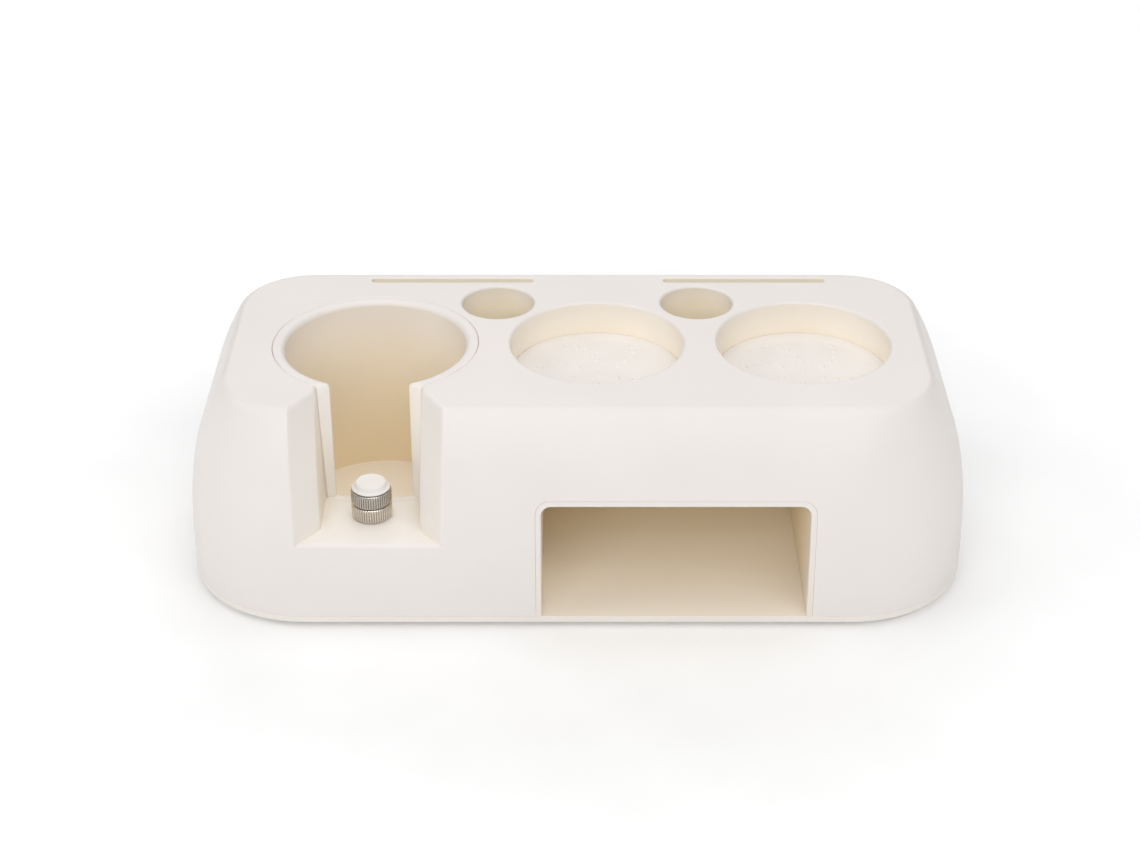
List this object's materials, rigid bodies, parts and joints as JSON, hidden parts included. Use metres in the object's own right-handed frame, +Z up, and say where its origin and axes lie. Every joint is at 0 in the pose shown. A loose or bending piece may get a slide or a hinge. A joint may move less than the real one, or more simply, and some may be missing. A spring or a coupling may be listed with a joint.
{
  "type": "espresso tamping station",
  "caption": "Moulded countertop station for espresso tools: portafilter cup with screw-adjusted handle rest, padded tamper recesses, brush wells, screen slots and a front storage bay.",
  "frame": {"origin": "centre of the footprint on the surface that the feet stand on", "axes": "+Z up, +X to the right along the long side seen from the open front, +Y towards the back"},
  "size_m": [0.273, 0.1326, 0.0782],
  "materials": {
    "shell": "fine satin ABS, cream white",
    "base": "fine satin ABS, cream white",
    "cup": "satin ABS, warm cream",
    "liner": "satin ABS, warm cream",
    "tamper_mat": "matte silicone",
    "distributor_mat": "matte silicone",
    "lock_nut_steel": "straight-knurled stainless steel",
    "head_steel": "straight-knurled stainless steel",
    "stud_steel": "machine-cut stainless thread",
    "bush_brass": "turned brass",
    "cap_rubber": "off-white silicone",
    "foot_rubber": "matte black rubber",
    "screw_steel": "zinc-plated screw"
  },
  "bodies": {
    "stand": {"main_shell": "shell", "base_plate": "base", "compartment_liner": "liner", "tamper_pad": "tamper_mat", "distributor_pad": "distributor_mat", "threaded_bush": "bush_brass", "foot_1": "foot_rubber", "foot_2": "foot_rubber", "foot_3": "foot_rubber", "foot_4": "foot_rubber", "base_screw_1": "screw_steel", "base_screw_2": "screw_steel", "base_screw_3": "screw_steel", "base_screw_4": "screw_steel", "base_screw_5": "screw_steel", "base_screw_6": "screw_steel"},
    "cup": {"portafilter_cup": "cup"},
    "rest_top": {"rest_cap": "cap_rubber"},
    "rest_screw": {"adjuster_head": "head_steel", "rest_stud": "stud_steel"},
    "lock_nut": {"lock_nut": "lock_nut_steel"}
  },
  "joints": [
    {"name": "cup_lift", "type": "slide", "parent": "stand", "child": "cup", "axis": [0, 0, 1], "range_m": [0, 0.085]},
    {"name": "rest_rise", "type": "slide", "parent": "stand", "child": "rest_top", "axis": [0, 0, 1], "range_m": [0, 0.012]},
    {"name": "rest_turn", "type": "hinge", "parent": "rest_top", "child": "rest_screw", "pos_m": [-0.0709, -0.0456, 0.0413], "axis": [0, 0, 1], "range_deg": [0, 4320]},
    {"name": "lock_nut_turn", "type": "hinge", "parent": "stand", "child": "lock_nut", "pos_m": [-0.0709, -0.0456, 0.036], "axis": [0, 0, 1], "continuous": true}
  ],
  "couplings": [
    {"joint": "rest_rise", "follows": "rest_turn", "m_per_rad": 0.00015915}
  ]
}
